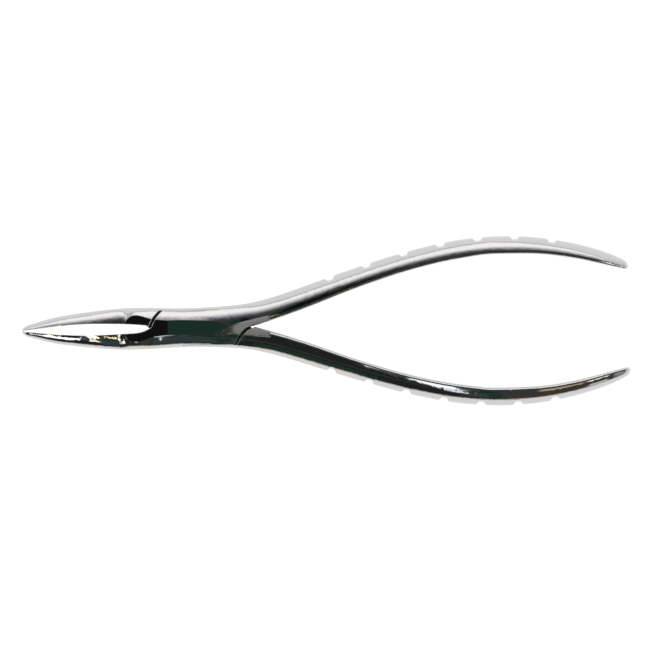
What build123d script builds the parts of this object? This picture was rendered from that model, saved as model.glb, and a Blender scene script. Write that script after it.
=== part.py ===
from build123d import *
import math
import os
from scipy.interpolate import CubicSpline, PchipInterpolator

# Box-joint pliers lying flat. Millimetres. +X runs from the jaws to the handles, +Y is the side of the
# upper jaw and +Z is up, along the hinge axis. Outlines are given in the pivot's own frame: u along the
# pliers from the pivot, v across them. The two sides are mirror images across v = 0 when closed.

OVERALL_LENGTH = 150.0
JAW_LENGTH = 43.85  # pivot to jaw tips
HANDLE_LENGTH = OVERALL_LENGTH - JAW_LENGTH
PIVOT_X = JAW_LENGTH - OVERALL_LENGTH / 2

# Side of the pliers, from jaw tip to handle end: crest of the rounded back
CREST = [(-43.85, 0.55), (-43.3, 1.08), (-42, 1.62), (-38, 2.74), (-32, 3.84), (-26, 4.56), (-19, 5.12),
         (-12, 5.10), (-4, 4.82), (4, 5.02), (12, 5.72), (20, 7.70), (28, 10.35), (37, 13.35), (46, 16.15),
         (55, 18.50), (64, 20.20), (73, 20.95), (82, 20.65), (91, 19.25), (98, 17.40), (103, 15.50),
         (106.15, 13.85)]
# Flat inner face of the handle; it passes below v = 0 where both sides meet in the joint
INNER = [(-43.85, -0.3), (-42, -0.5), (-36, -0.9), (-26, -1.4), (0, -1.5), (7, -1.4), (13, 0.02),
         (20, 2.05), (28, 4.78), (37, 8.13), (46, 11.13), (55, 13.63), (64, 15.43), (73, 16.43),
         (82, 16.33), (91, 15.30), (98, 13.80), (103, 12.60), (106.15, 11.95)]
# Half of the width along the hinge axis
HALF_WIDTH = [(-43.85, 0.80), (-43.3, 1.25), (-42, 1.60), (-38, 2.10), (-32, 2.52), (-26, 2.65),
              (-22.5, 2.52), (-20, 2.42), (-18.8, 2.49), (-17.6, 2.94), (-16.1, 3.37), (-14.3, 3.31),
              (-12.5, 3.11), (-10.6, 3.07), (-8.7, 3.11), (-6, 3.15), (0, 3.10), (6, 2.97), (11, 2.86),
              (15, 3.10), (20, 3.42), (28, 3.68), (37, 3.98), (46, 4.20), (55, 4.42), (64, 4.65),
              (73, 4.78), (82, 4.72), (90, 4.38), (96, 4.08), (100, 3.58), (104, 2.55), (106.15, 1.90)]
CORNER_RADIUS = [(-43.85, 0.15), (-36, 0.4), (0, 0.7), (14, 1.0), (22, 0.85), (30, 0.75), (88, 0.75),
                 (98, 0.7), (103, 0.6), (106.15, 0.5)]
CENTRE_LIFT = 0.25  # ellipse centre above the handle's inner face
JOINT_BLEND = [(-43.85, 0), (1, 0), (13, 1), (106.15, 1)]  # 0 full ellipse about the axis, 1 handle section
END_CAP = 1.0  # length of the rounded handle end
END_FLAT = 0.3  # share of the section left at the very end
CORNER_SEARCH = (0.2, 0.75 * math.pi)  # angles from the crest between which the corner's touch is searched
SEARCH_STEPS = 60

# Stations of the long body
STATIONS = [-43.85, -43.6, -43.3, -42.7, -42, -40.5, -38.5, -36, -33, -30, -26, -23.5, -21.5, -20, -19,
            -18, -17, -15.5, -14, -12, -10, -6, -2, 2, 5, 8, 10.5, 13, 16, 19, 22.5, 26.5, 31, 36, 41, 46,
            51, 56, 61, 66, 71, 76, 81, 86, 90, 94, 97.5, 100.5, 103, 104.5]
CAP_STATIONS = 5

# Finger grooves across the backs of the handles
GROOVE_FIRST = 32.2
GROOVE_PITCH = 9.2
GROOVE_COUNT = 7
GROOVE_DEPTH = 0.7
GROOVE_RUN_OUT = 1.5  # the groove's floor rises this far above the body at its two ends
GROOVE_FLOOR = 1.1
GROOVE_TOP = 3.1
GROOVE_REACH = 0.9  # how far the cutter stands above the groove's floor

# Serrated nose of each jaw
TOOTH_PITCH = 0.5
TOOTH_COUNT = 19
TOOTH_DEPTH = 0.25
TIP_LAND = 0.25  # plain tip in front of the first tooth
TIP_GAP = 0.03
NOSE_SLOPE = 0.112
JAW_GAP = [(-29, 1.40), (-24, 1.40), (-18, 1.15), (-14.8, 0.92)]
BOX_GAP_END = [(-13.4, -0.52), (-12.55, -0.1)]

# Middle lines of the two slits between the box and the shoulders of the other half: from the jaw gap to the
# outside at the jaw end, and from the crotch to the outside at the handle end
JAW_SLIT = [(-12.2, 0.42), (-11.85, 1.25), (-11.3, 2.30), (-10.6, 3.23), (-9.8, 4.10), (-8.9, 4.85),
            (-7.6, 5.7)]
JAW_SLIT_SHIFT = (0.30, -0.19)  # from the middle of the slit to its box side
HANDLE_SLIT = [(12.8, -0.27), (11.9, -0.52), (11.1, -1.12), (10.35, -1.95), (9.65, -2.9), (9.0, -3.95),
               (8.3, -4.95), (7.2, -6.3)]
HANDLE_SLIT_SHIFT = (-0.29, 0.25)
BOX_CROTCH = 13.2  # where the box's handle leaves the middle line
SHOULDER_CROTCH = 13.7

# Shallow relief ground over the crotch: at each u, its lower edge (v, height) and its upper edge
RELIEF = [(5.9, (-1.75, 2.78), (-0.1, 2.95)), (8.0, (-1.75, 2.50), (0.45, 2.93)),
          (10.3, (-1.80, 2.40), (1.10, 2.93)), (14.0, (-2.35, 2.55), (1.80, 3.06)),
          (17.4, (-2.80, 2.88), (2.40, 3.26))]

# Box joint
CHEEK_HALF = 2.9  # half of the thickness over the flat cheeks
CHEEK_START = -7.8  # the cheeks are parallel from here to their end
CHEEK_END = 11.0
LAND_START = -20.0  # the ground land over the roots of the jaws tapers from the cheeks to here
LAND_TAPER = 0.0375
TENON_HALF = 1.40
SLOT_HALF = 1.45
TENON_RADIUS = 6.0
SLOT_RADIUS = 6.08
SEAT_GAP = 0.03
TENON_SWEEP = 55.0  # degrees of round seat at each end of the slot
TENON_ROOT = [(-16, 2.5), (-13.1, 0.62)]  # foot of the tenon in the root of its jaw
TENON_ROOT_END = -12.4
SLOT_REACH = 20.0
PIN_RADIUS = 1.5
BORE_CLEARANCE = 0.04

# Ends of the cutters, well outside the body
REACH = 30.0
BEFORE_TIP = -JAW_LENGTH - 2
FAR = HANDLE_LENGTH + 10


def curve(points, kind=CubicSpline):
    """Smooth function through (u, value) points."""
    return kind([p[0] for p in points], [p[1] for p in points])


crest_at = curve(CREST)
inner_at = curve(INNER, PchipInterpolator)
half_width_at = curve(HALF_WIDTH)
corner_at = curve(CORNER_RADIUS, PchipInterpolator)
blend_at = curve(JOINT_BLEND, PchipInterpolator)


def section_sizes(u):
    """Crest, ellipse centre, inner face, half width and corner radius of the section at u."""
    crest = float(crest_at(u))
    inner = float(inner_at(u))
    half_width = float(half_width_at(u))
    corner = float(corner_at(u))
    centre = float(blend_at(u)) * (inner + CENTRE_LIFT)
    left = HANDLE_LENGTH - u
    if left < END_CAP:
        depth = max(left / END_CAP, 0)
        shrink = max(math.sqrt(1 - (1 - depth) ** 2), END_FLAT)
        middle = (crest + inner) / 2
        crest = middle + (crest - middle) * shrink
        inner = middle + (inner - middle) * shrink
        centre = middle + (centre - middle) * shrink
        half_width = half_width * shrink
        corner = corner * shrink
    return crest, centre, inner, half_width, corner


def corner_touch(height, centre, inner, half_width, corner):
    """Angle on the back's ellipse where a corner circle that rests on the inner face touches it, and the
    circle's centre across the hinge axis."""
    low = CORNER_SEARCH[0]
    high = CORNER_SEARCH[1]
    for _ in range(SEARCH_STEPS):
        angle = (low + high) / 2
        normal = (math.cos(angle) / height, math.sin(angle) / half_width)
        length = math.hypot(*normal)
        middle_v = centre + height * math.cos(angle) - corner * normal[0] / length
        if middle_v > inner + corner:
            low = angle
        else:
            high = angle
    return angle, half_width * math.sin(angle) - corner * normal[1] / length


def widest_at(u):
    """Half of the body's real width along the hinge axis at u, with the corners rounded."""
    crest, centre, inner, half_width, corner = section_sizes(u)
    return corner + corner_touch(crest - centre, centre, inner, half_width, corner)[1]


MID_Z = max(widest_at(u) for u in STATIONS)  # mid-plane above the handles' lowest edges
FULL_HEIGHT = 2 * MID_Z


def section(u):
    """Closed half-round section across the body at u: elliptical back, round corners, flat inner face."""
    crest, centre, inner, half_width, corner = section_sizes(u)
    height = crest - centre
    x = u + PIVOT_X
    angle, middle_w = corner_touch(height, centre, inner, half_width, corner)
    across = Plane(origin=(x, centre, MID_Z), x_dir=(0, 1, 0), z_dir=(1, 0, 0))
    reach = math.degrees(angle)
    touch = (centre + height * math.cos(angle), half_width * math.sin(angle))
    halfway = ((touch[0] + inner) / 2 - inner - corner, (touch[1] + middle_w) / 2 - middle_w)
    outward = corner / math.hypot(*halfway)

    def point(v, w):
        return Vector(x, v, MID_Z + w)

    def corner_arc(side):
        middle = point(inner + corner + halfway[0] * outward, side * (middle_w + halfway[1] * outward))
        return point(touch[0], side * touch[1]), middle, point(inner, side * middle_w)

    top = corner_arc(1)
    low = corner_arc(-1)
    edges = [
        Edge.make_ellipse(height, half_width, across, -reach, reach),
        Edge.make_three_point_arc(*top),
        Edge.make_line(top[2], low[2]),
        Edge.make_three_point_arc(low[2], low[1], low[0]),
    ]
    return Wire(edges)


def long_body():
    """One side of the closed pliers, jaw to handle, before the joint is cut."""
    cap = [HANDLE_LENGTH - END_CAP * (1 - math.sin(math.radians(90 * i / CAP_STATIONS)))
           for i in range(CAP_STATIONS + 1)]
    return Solid.make_loft([section(u) for u in STATIONS + cap])


def groove(u):
    """Cutter for one finger groove: a trapezoid swept along a half ellipse just under the back, then turned
    square to the back."""
    crest, centre, _, half_width, _ = section_sizes(u)
    x = u + PIVOT_X
    across = Plane(origin=(x, centre, MID_Z), x_dir=(0, 1, 0), z_dir=(1, 0, 0))
    floor = Edge.make_ellipse(crest - centre - GROOVE_DEPTH, half_width + GROOVE_RUN_OUT, across, -90, 90)
    start = (x, centre, MID_Z - half_width - GROOVE_RUN_OUT)
    profile = Plane(origin=start, x_dir=(1, 0, 0), z_dir=(0, 1, 0)) * Polygon(
        (-GROOVE_FLOOR / 2, 0), (GROOVE_FLOOR / 2, 0), (GROOVE_TOP / 2, GROOVE_REACH),
        (-GROOVE_TOP / 2, GROOVE_REACH), align=None)
    slope = math.degrees(math.atan(float(crest_at(u, 1))))
    return sweep(profile, path=floor).rotate(Axis((x, crest, MID_Z), (0, 0, 1)), slope)


def nose_teeth():
    """Points of the serrated nose, tip to root, for the upper jaw."""
    points = []
    for i in range(TOOTH_COUNT):
        u = -JAW_LENGTH + TIP_LAND + i * TOOTH_PITCH
        line = TIP_GAP + NOSE_SLOPE * i * TOOTH_PITCH
        points.append((u, line))
        points.append((u + TOOTH_PITCH / 2, line + TOOTH_DEPTH))
    length = TOOTH_COUNT * TOOTH_PITCH
    points.append((-JAW_LENGTH + TIP_LAND + length, TIP_GAP + NOSE_SLOPE * length))
    return points


def shifted(points, du, dv):
    return [(u + du, v + dv) for u, v in points]


def turned(points):
    """Half a turn about the pivot."""
    return [(-u, -v) for u, v in points]


def mirrored(points):
    return [(u, -v) for u, v in points]


def path_edges(*runs):
    """Edges through runs of points: 'line' runs are straight, 'curve' runs are splines, an 'arc' passes
    through two more points, and each run starts where the last one ended."""
    edges = []
    last = None
    for kind, points in runs:
        pieces = points if last is None else [last] + points
        if kind == "curve":
            edges += Spline(*[(u, v) for u, v in pieces]).edges()
        elif kind == "arc":
            edges += ThreePointArc(*[(u, v) for u, v in pieces]).edges()
        else:
            edges += Polyline(*[(u, v) for u, v in pieces]).edges()
        last = points[-1]
    return edges


def prism(edges, low, high):
    """Solid of the outline in the pivot's frame, between two heights about the mid-plane."""
    outline = make_face(Wire(edges))
    return extrude(Pos(PIVOT_X, 0, MID_Z + low) * outline, amount=high - low, dir=(0, 0, 1))


def box_side():
    """Everything on the box's side of both slits."""
    jaw_slit = shifted(JAW_SLIT, *JAW_SLIT_SHIFT)
    handle_slit = shifted(HANDLE_SLIT, *HANDLE_SLIT_SHIFT)
    teeth = mirrored(nose_teeth())
    edges = path_edges(
        ("line", [(BEFORE_TIP, -REACH), (BEFORE_TIP, teeth[0][1]), *teeth]),
        ("curve", mirrored(JAW_GAP) + BOX_GAP_END + jaw_slit[:1]),
        ("curve", jaw_slit[1:]),
        ("line", [(jaw_slit[-1][0], REACH), (FAR, REACH), (FAR, 0), (BOX_CROTCH, 0), handle_slit[0]]),
        ("curve", handle_slit[1:]),
        ("line", [(handle_slit[-1][0], -REACH), (BEFORE_TIP, -REACH)]),
    )
    return prism(edges, -MID_Z, MID_Z)


def jaw_shoulder_side():
    """The upper jaw's side of its slit."""
    shoulder = shifted(JAW_SLIT, -JAW_SLIT_SHIFT[0], -JAW_SLIT_SHIFT[1])
    teeth = nose_teeth()
    edges = path_edges(
        ("line", [(BEFORE_TIP, REACH), (BEFORE_TIP, teeth[0][1]), *teeth]),
        ("curve", JAW_GAP + shoulder[:1]),
        ("curve", shoulder[1:]),
        ("line", [(shoulder[-1][0], REACH), (BEFORE_TIP, REACH)]),
    )
    return prism(edges, -MID_Z, MID_Z)


def handle_shoulder_side():
    """The lower handle's side of its slit."""
    shoulder = shifted(HANDLE_SLIT, -HANDLE_SLIT_SHIFT[0], -HANDLE_SLIT_SHIFT[1])
    edges = path_edges(
        ("line", [(FAR, 0), (SHOULDER_CROTCH, 0), shoulder[0]]),
        ("curve", shoulder[1:]),
        ("line", [(shoulder[-1][0], -REACH), (FAR, -REACH), (FAR, 0)]),
    )
    return prism(edges, -MID_Z, MID_Z)


def seat_arc(radius, gap):
    """Round seat about the pivot at the jaw end of the slot, from the jaw side to the outside."""
    sweep_angle = math.radians(TENON_SWEEP)
    start = (-radius, gap)
    middle = (-radius * math.cos(sweep_angle / 2), -radius * math.sin(sweep_angle / 2))
    end = (-radius * math.cos(sweep_angle), -radius * math.sin(sweep_angle))
    return start, middle, end


def tenon_plan():
    """Outline of the tenon, from jaw root to handle root."""
    start, middle, end = seat_arc(TENON_RADIUS, SEAT_GAP)
    jaw_side = [*TENON_ROOT, (TENON_ROOT_END, SEAT_GAP), start]
    reach = TENON_ROOT[0][0]
    edges = path_edges(
        ("line", [(reach, REACH), *jaw_side]),
        ("arc", [middle, end]),
        ("line", [(end[0], -REACH), (-reach, -REACH), *turned(jaw_side)]),
        ("arc", turned([middle, end])),
        ("line", [(-end[0], REACH), (reach, REACH)]),
    )
    return prism(edges, -TENON_HALF, TENON_HALF)


def slot_plan():
    """The slot through the box that the tenon passes through."""
    start, middle, end = seat_arc(SLOT_RADIUS, -SEAT_GAP)
    edges = path_edges(
        ("line", [(-SLOT_REACH, REACH), (-SLOT_REACH, -SEAT_GAP), start]),
        ("arc", [middle, end]),
        ("line", [(end[0], -REACH), (SLOT_REACH, -REACH), (SLOT_REACH, SEAT_GAP), (-start[0], -start[1])]),
        ("arc", turned([middle, end])),
        ("line", [(-end[0], REACH), (-SLOT_REACH, REACH)]),
    )
    return prism(edges, -SLOT_HALF, SLOT_HALF)


def pin_cylinder(radius, half_length):
    return Pos(PIVOT_X, 0, MID_Z) * Cylinder(radius, 2 * half_length)


def land_cutter(side):
    """Everything above (side 1) or below (side -1) the ground cheeks and the tapered land by the jaws."""
    land_half = CHEEK_HALF - LAND_TAPER * (CHEEK_START - LAND_START)
    heights = [(LAND_START, land_half), (CHEEK_START, CHEEK_HALF), (CHEEK_END, CHEEK_HALF),
               (CHEEK_END, 2 * CHEEK_HALF), (LAND_START, 2 * CHEEK_HALF)]
    along = Plane(origin=(PIVOT_X, 0, MID_Z), x_dir=(1, 0, 0), z_dir=(0, -1, 0))
    outline = make_face(Polyline(*[(u, side * height) for u, height in heights], close=True))
    return extrude(along * outline, amount=REACH, both=True)


def relief_cutter(side):
    """Everything above (side 1) or below (side -1) the twisted floor of the relief over the crotch."""
    wires = []
    for u, low, high in RELIEF:
        x = u + PIVOT_X
        corners = [low, high, (high[0], 2 * CHEEK_HALF), (low[0], 2 * CHEEK_HALF)]
        wires.append(Wire.make_polygon([(x, v, MID_Z + side * height) for v, height in corners]))
    return Solid.make_loft(wires, ruled=True)


def side_bodies():
    """Both sides of the closed pliers, each ending at v = 0."""
    upper = long_body()
    for i in range(GROOVE_COUNT):
        upper = upper - groove(GROOVE_FIRST + i * GROOVE_PITCH)
    for side in (1, -1):
        upper = upper - land_cutter(side)
    keep = Pos(0, REACH / 2, MID_Z) * Box(OVERALL_LENGTH, REACH, 2 * FULL_HEIGHT)
    upper = upper & keep
    lower = mirror(upper, about=Plane.XZ)
    for side in (1, -1):
        relief = relief_cutter(side)
        upper = upper - relief
        lower = lower - relief
    return upper, lower


def box_half(upper, lower):
    kept = box_side()
    body = (upper & kept) + (lower & kept)
    body = body - slot_plan()
    return body - pin_cylinder(PIN_RADIUS, FULL_HEIGHT)


def tenon_half(upper, lower):
    plan = tenon_plan()
    body = (upper & jaw_shoulder_side()) + (upper & plan) + (lower & plan) + (lower & handle_shoulder_side())
    return body - pin_cylinder(PIN_RADIUS + BORE_CLEARANCE, FULL_HEIGHT)


def pivot_pin():
    return pin_cylinder(PIN_RADIUS, CHEEK_HALF)


def main():
    os.makedirs("parts", exist_ok=True)
    upper, lower = side_bodies()
    nodes = {
        "box_half": box_half(upper, lower),
        "tenon_half": tenon_half(upper, lower),
        "pivot_pin": pivot_pin(),
    }
    for name, solid in nodes.items():
        export_step(solid, f"parts/{name}.step")
    print("mid-plane height", round(MID_Z, 4))


main()
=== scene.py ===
import math

import bpy
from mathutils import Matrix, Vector

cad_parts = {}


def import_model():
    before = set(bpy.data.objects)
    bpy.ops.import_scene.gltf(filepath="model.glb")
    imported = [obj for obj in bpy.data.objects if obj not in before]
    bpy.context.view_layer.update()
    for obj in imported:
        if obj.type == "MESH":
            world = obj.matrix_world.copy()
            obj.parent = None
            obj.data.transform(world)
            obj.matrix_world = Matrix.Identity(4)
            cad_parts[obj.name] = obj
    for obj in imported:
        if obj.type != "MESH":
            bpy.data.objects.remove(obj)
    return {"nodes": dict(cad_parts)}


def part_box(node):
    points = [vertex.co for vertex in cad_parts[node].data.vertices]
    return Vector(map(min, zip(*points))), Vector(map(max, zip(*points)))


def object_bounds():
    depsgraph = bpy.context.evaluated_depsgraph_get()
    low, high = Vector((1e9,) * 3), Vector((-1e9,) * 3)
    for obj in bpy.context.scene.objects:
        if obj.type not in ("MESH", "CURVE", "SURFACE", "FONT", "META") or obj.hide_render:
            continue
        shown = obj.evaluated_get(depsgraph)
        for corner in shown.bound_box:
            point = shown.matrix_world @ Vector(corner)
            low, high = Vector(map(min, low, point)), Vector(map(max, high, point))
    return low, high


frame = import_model()
cad_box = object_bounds()

MM = 0.001
SENSOR = 36.0
CAMERA_HEIGHT = 0.75
CAMERA_X = -0.83 * MM
CAMERA_Y = 0.54 * MM
VIEW_WIDTH = 159.5 * MM  # width seen at the middle height of the pliers
ROLL = math.radians(1.25)
FLOOR_SIZE = 60.0
FLOOR_GAP = 0.05 * MM

# places on the pliers, along X from the pivot
# the stretch of the joint where shade is painted into the tight gaps
GAP_SHADE_START = -14 * MM
GAP_SHADE_END = 15 * MM
LANDS_START = -21 * MM
LANDS_END = -3 * MM
RELIEF_START = 6.0 * MM
RELIEF_FULL = 11.0 * MM
RELIEF_END = 18.0 * MM

# the two slanting lines that bound the crotch relief: rise per length, and Y at the pivot
RELIEF_LOW_SLOPE = -0.11
RELIEF_LOW_Y = -0.9 * MM
RELIEF_HIGH_SLOPE = 0.225
RELIEF_HIGH_Y = -1.2 * MM
RELIEF_HEIGHT = 2.3 * MM  # above the middle, so that only the outer faces are satin

# reach of the ambient occlusion that paints shade into the joint's gaps
GAP_SHADE_REACH = 3.0 * MM
EDGE_RADIUS = 0.1 * MM
LAND_EDGE_RADIUS = 0.2 * MM  # added over the lands
PIN_EDGE = 2.0 * MM  # no softened edge nearer to the pivot than this

GOLD = (1.15, 0.95, 0.6)
WHITE = (0.97, 1.0, 1.04)

scene = bpy.context.scene
scene.view_settings.view_transform = "Standard"
middle_z = (cad_box[0].z + cad_box[1].z) / 2
pin_low, pin_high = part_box("pivot_pin")
pivot = (pin_low + pin_high) / 2


class Nodes:
    """Short ways to add and link shader nodes in one node tree."""

    def __init__(self, tree):
        self.tree = tree

    def put(self, value, socket):
        if isinstance(value, bpy.types.NodeSocket):
            self.tree.links.new(value, socket)
        else:
            socket.default_value = value

    def add(self, kind, **settings):
        node = self.tree.nodes.new(kind)
        for name, value in settings.items():
            setattr(node, name, value)
        return node

    def math(self, operation, first, second=0.0, third=0.0):
        node = self.add("ShaderNodeMath", operation=operation)
        for value, socket in zip((first, second, third), node.inputs):
            self.put(value, socket)
        return node.outputs[0]

    def step(self, value, low, high):
        """Smooth 0 to 1 as value goes from low to high."""
        node = self.add("ShaderNodeMapRange", interpolation_type="SMOOTHSTEP")
        self.put(value, node.inputs["Value"])
        node.inputs["From Min"].default_value = low
        node.inputs["From Max"].default_value = high
        return node.outputs["Result"]

    def window(self, value, low, high, soft):
        """1 between low and high, falling to 0 over the soft width outside."""
        rise = self.step(value, low - soft, low)
        fall = self.step(value, high + soft, high)
        return self.math("MULTIPLY", rise, fall)

    def mix(self, factor, first, second):
        node = self.add("ShaderNodeMix", data_type="RGBA")
        self.put(factor, node.inputs["Factor"])
        self.put(first, node.inputs[6])
        self.put(second, node.inputs[7])
        return node.outputs[2]

    def noise(self, vector, scale, detail, roughness):
        node = self.add("ShaderNodeTexNoise")
        self.put(vector, node.inputs["Vector"])
        node.inputs["Scale"].default_value = scale
        node.inputs["Detail"].default_value = detail
        node.inputs["Roughness"].default_value = roughness
        return node.outputs["Fac"]

    def split(self, vector):
        node = self.add("ShaderNodeSeparateXYZ")
        self.put(vector, node.inputs[0])
        return node.outputs


def grey(value, tint=(1.0, 1.0, 1.0)):
    return (value * tint[0], value * tint[1], value * tint[2], 1.0)


def world():
    """A dark studio with a long soft light low on the +Y side and a few dim shapes elsewhere.
    Directions are given by the angle about X, from 0 at the +Y horizon over 90 overhead to 180 at the
    -Y horizon, and by their X part."""
    made = bpy.data.worlds.new("studio")
    scene.world = made
    made.use_nodes = True
    nodes = Nodes(made.node_tree)
    coordinates = nodes.add("ShaderNodeTexCoord")
    along, y, z = nodes.split(coordinates.outputs["Generated"])
    degrees = nodes.math("MULTIPLY", nodes.math("ARCTAN2", z, y), 180 / math.pi)

    # a pale wall up to a dim line, the soft light above it, and its bluish fade towards the ceiling
    ends = nodes.math("ABSOLUTE", along)
    above_wall = nodes.math("MULTIPLY_ADD", ends, -60.0, degrees)
    colour = nodes.mix(nodes.step(above_wall, 3, 12), grey(1.0), grey(1.42, (1.0, 0.98, 0.995)))
    colour = nodes.mix(nodes.window(above_wall, -1, 2, 3), colour, grey(0.7))
    colour = nodes.mix(nodes.step(degrees, 34, 63), colour, grey(0.12, (0.9, 0.95, 1.15)))
    charcoal = grey(0.056, (1.0, 1.0, 0.9))
    green = grey(0.032, (0.55, 1.35, 1.05))
    colour = nodes.mix(nodes.step(degrees, 54, 70), colour, charcoal)
    # charcoal overhead, dark green about the zenith, black to the left of it
    ceiling = nodes.mix(nodes.step(along, 0.03, 0.06), green, charcoal)
    ceiling = nodes.mix(nodes.window(along, -0.19, -0.105, 0.008), ceiling, grey(0.008))
    ceiling = nodes.mix(nodes.step(along, -0.215, -0.235), ceiling, charcoal)
    colour = nodes.mix(nodes.step(degrees, 60, 70), colour, ceiling)
    shapes = [
        # angle from, to, X part from, to, softness in degrees, in X, colour
        (102, 178, -0.6, -0.08, 3, 0.03, grey(0.022, (0.95, 1.0, 1.05))),
        (94, 98, -0.095, -0.045, 0.5, 0.004, grey(0.07, (1.0, 1.05, 0.7))),
        (131, 134, -0.3, 0.1, 2, 0.1, grey(0.05, (0.9, 1.15, 0.9))),
        (146, 172, -0.45, -0.29, 4, 0.03, grey(0.036, (0.6, 1.3, 1.05))),
        (134, 160, -0.1, -0.02, 7, 0.02, grey(0.06, (0.75, 1.1, 1.15))),
        (101, 108, -0.115, -0.05, 2, 0.01, grey(0.9, GOLD)),
        (109, 123, -0.122, -0.075, 3, 0.012, grey(1.7, WHITE)),
        (124, 140, -0.118, -0.088, 3, 0.01, grey(1.2, WHITE)),
        (118, 130, 0.2, 0.3, 3, 0.03, grey(0.5, GOLD)),
        (104, 126, 0.36, 0.52, 4, 0.05, grey(1.6)),
        (154, 172, 0.4, 0.52, 3, 0.05, grey(0.7)),
        (174, 181, -0.9, 0.9, 3, 0.1, grey(0.5, (1.15, 0.95, 0.82))),
    ]
    for low, high, left, right, soft, soft_along, shade in shapes:
        across = nodes.window(degrees, low, high, soft)
        inside = nodes.math("MULTIPLY", across, nodes.window(along, left, right, soft_along))
        colour = nodes.mix(inside, colour, shade)
    # pale panels off both ends, seen only from the sides
    colour = nodes.mix(nodes.step(ends, 0.6, 0.75), colour, grey(0.8))
    # the camera itself sees a plain pale backdrop
    rays = nodes.add("ShaderNodeLightPath")
    colour = nodes.mix(rays.outputs["Is Camera Ray"], colour, grey(1.0))
    nodes.put(colour, made.node_tree.nodes["Background"].inputs["Color"])


def lamp(name, target, direction, distance, width, height, radiance, tint):
    """Small soft lamp, its sizes and its target in millimetres, seen only in the polish of the steel."""
    data = bpy.data.lights.new(name, "AREA")
    data.shape = "RECTANGLE"
    data.size = width * MM
    data.size_y = height * MM
    data.energy = radiance * math.pi * data.size * data.size_y
    data.color = tint
    made = bpy.data.objects.new(name, data)
    scene.collection.objects.link(made)
    towards = Vector(direction).normalized()
    made.location = (Vector(target) + towards * distance) * MM
    made.rotation_euler = towards.to_track_quat("Z", "Y").to_euler()
    made.visible_camera = False


def lamps():
    """A white strip and small warm lamps that show along the lower jaw."""
    lamp("jaw_strip", (-64, -2, 6), (-0.285, -0.71, 0.645), 200, 50, 56, 2.0, WHITE)
    lamp("warm_tip", (-67.4, -2, 6), (-0.30, -0.56, 0.77), 120, 8, 12, 2.2, GOLD)
    lamp("warm_middle", (-57, -2, 7), (-0.07, -0.53, 0.845), 120, 9, 12, 2.2, GOLD)
    lamp("warm_low", (-57, -3, 7), (-0.11, -0.79, 0.60), 120, 9, 10, 1.5, GOLD)
    lamp("warm_root", (-52, -2, 7), (-0.01, -0.47, 0.88), 120, 5, 9, 1.6, GOLD)


def floor():
    bpy.ops.mesh.primitive_plane_add(size=FLOOR_SIZE, location=(0, 0, cad_box[0].z - FLOOR_GAP))
    plane = bpy.context.object
    plane.name = "floor"
    material = bpy.data.materials.new("floor")
    material.use_nodes = True
    shader = material.node_tree.nodes["Principled BSDF"]
    shader.inputs["Base Color"].default_value = grey(0.1)
    shader.inputs["Specular IOR Level"].default_value = 0.0
    shader.inputs["Emission Color"].default_value = grey(1.0)
    shader.inputs["Emission Strength"].default_value = 1.0
    shader.inputs["Roughness"].default_value = 1.0
    plane.data.materials.append(material)


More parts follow.
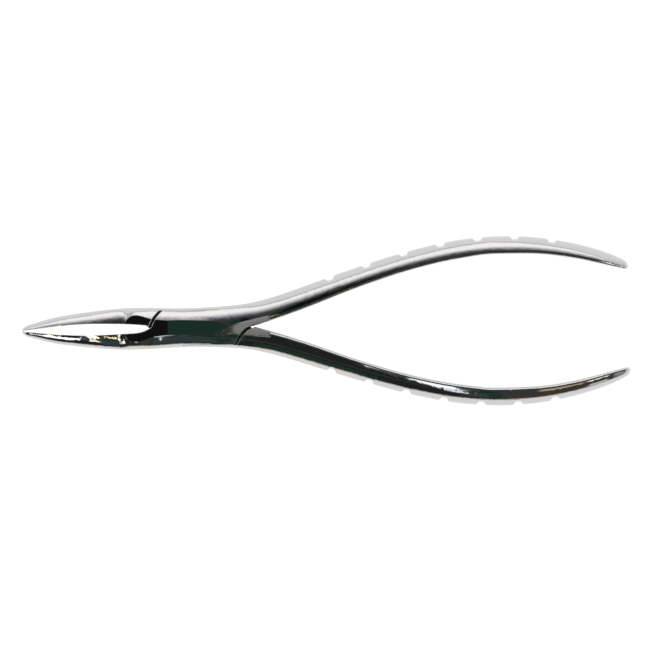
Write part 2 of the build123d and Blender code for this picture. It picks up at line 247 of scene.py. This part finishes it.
def polished_steel():
    """Mirror-polished stainless steel: faint polishing lines and smears, painted shade (nearly black colour,
    rougher steel) in the tight gaps of the joint, softened edges on the lands, and a satin finish where the
    crotch was ground."""
    material = bpy.data.materials.new("polished_steel")
    material.use_nodes = True
    nodes = Nodes(material.node_tree)
    shader = material.node_tree.nodes["Principled BSDF"]
    shader.inputs["Metallic"].default_value = 1.0
    coordinates = nodes.add("ShaderNodeTexCoord")
    place = coordinates.outputs["Object"]
    x, y, z = nodes.split(place)
    from_pivot = nodes.math("SUBTRACT", x, pivot.x)

    # painted shade: the colour goes nearly black, and the steel rougher, where surfaces face each other
    # closely within the joint
    gaps = nodes.add("ShaderNodeAmbientOcclusion", samples=4)
    gaps.inputs["Distance"].default_value = GAP_SHADE_REACH
    joint = nodes.window(from_pivot, GAP_SHADE_START, GAP_SHADE_END, 1 * MM)
    painted_gap_shade = nodes.math("MULTIPLY", joint, nodes.step(gaps.outputs["AO"], 0.55, 0.3))

    smear = nodes.noise(place, 90.0, 4.0, 0.6)
    fine = nodes.noise(place, 900.0, 3.0, 0.6)
    tone = nodes.mix(smear, grey(0.595, (1.0, 0.985, 0.985)), grey(0.625, (1.0, 0.99, 0.99)))
    # painted shade: base colour nearly black in the joint's tight gaps
    tone = nodes.mix(painted_gap_shade, tone, grey(0.012))
    nodes.put(tone, shader.inputs["Base Color"])

    # the ground relief over the crotch: between two slanting lines, on the outer faces only
    low_line = nodes.math("MULTIPLY_ADD", from_pivot, RELIEF_LOW_SLOPE, RELIEF_LOW_Y)
    high_line = nodes.math("MULTIPLY_ADD", from_pivot, RELIEF_HIGH_SLOPE, RELIEF_HIGH_Y)
    below = nodes.math("SUBTRACT", y, low_line)
    above = nodes.math("SUBTRACT", high_line, y)
    from_below = nodes.step(below, -0.2 * MM, 0.6 * MM)
    from_above = nodes.step(above, -0.2 * MM, 0.2 * MM)
    across = nodes.math("MULTIPLY", from_below, from_above)
    height = nodes.math("ABSOLUTE", nodes.math("SUBTRACT", z, middle_z))
    outside = nodes.math("MULTIPLY", across, nodes.step(height, RELIEF_HEIGHT - 0.3 * MM, RELIEF_HEIGHT))
    rise = nodes.step(from_pivot, RELIEF_START, RELIEF_FULL)
    fall = nodes.step(from_pivot, RELIEF_END, RELIEF_END - 1.5 * MM)
    satin = nodes.math("MULTIPLY", outside, nodes.math("MULTIPLY", rise, fall))
    roughness = nodes.math("MULTIPLY_ADD", smear, 0.03, 0.035)
    roughness = nodes.math("MULTIPLY_ADD", satin, 0.5, roughness)
    # the steel is also rougher where shade is painted into the gaps
    roughness = nodes.math("MULTIPLY_ADD", painted_gap_shade, 0.5, roughness)
    nodes.put(roughness, shader.inputs["Roughness"])

    # edges are broken a little everywhere, more along the lands over the jaw roots, and not at the flush pin
    land = nodes.window(from_pivot, LANDS_START, LANDS_END, 1 * MM)
    radius = nodes.math("MULTIPLY_ADD", land, LAND_EDGE_RADIUS, EDGE_RADIUS)
    x_squared = nodes.math("MULTIPLY", from_pivot, from_pivot)
    y_squared = nodes.math("MULTIPLY", y, y)
    reach = nodes.math("SQRT", nodes.math("ADD", x_squared, y_squared))
    radius = nodes.math("MULTIPLY", radius, nodes.step(reach, PIN_EDGE, 1.2 * PIN_EDGE))
    bevel = nodes.add("ShaderNodeBevel", samples=4)
    nodes.put(radius, bevel.inputs["Radius"])
    bump = nodes.add("ShaderNodeBump")
    bump.inputs["Strength"].default_value = 0.015
    bump.inputs["Distance"].default_value = 0.02 * MM
    nodes.put(fine, bump.inputs["Height"])
    nodes.put(bevel.outputs[0], bump.inputs["Normal"])
    nodes.put(bump.outputs[0], shader.inputs["Normal"])
    return material


def finish_nodes():
    steel = polished_steel()
    for node in frame["nodes"].values():
        node.data.materials.clear()
        node.data.materials.append(steel)


def camera():
    data = bpy.data.cameras.new("camera")
    made = bpy.data.objects.new("camera", data)
    scene.collection.objects.link(made)
    data.sensor_width = SENSOR
    data.lens = SENSOR * (CAMERA_HEIGHT - middle_z) / VIEW_WIDTH
    made.location = (CAMERA_X, CAMERA_Y, CAMERA_HEIGHT)
    made.rotation_euler = (0, 0, -ROLL)
    scene.camera = made


camera()
world()
lamps()
floor()
finish_nodes()
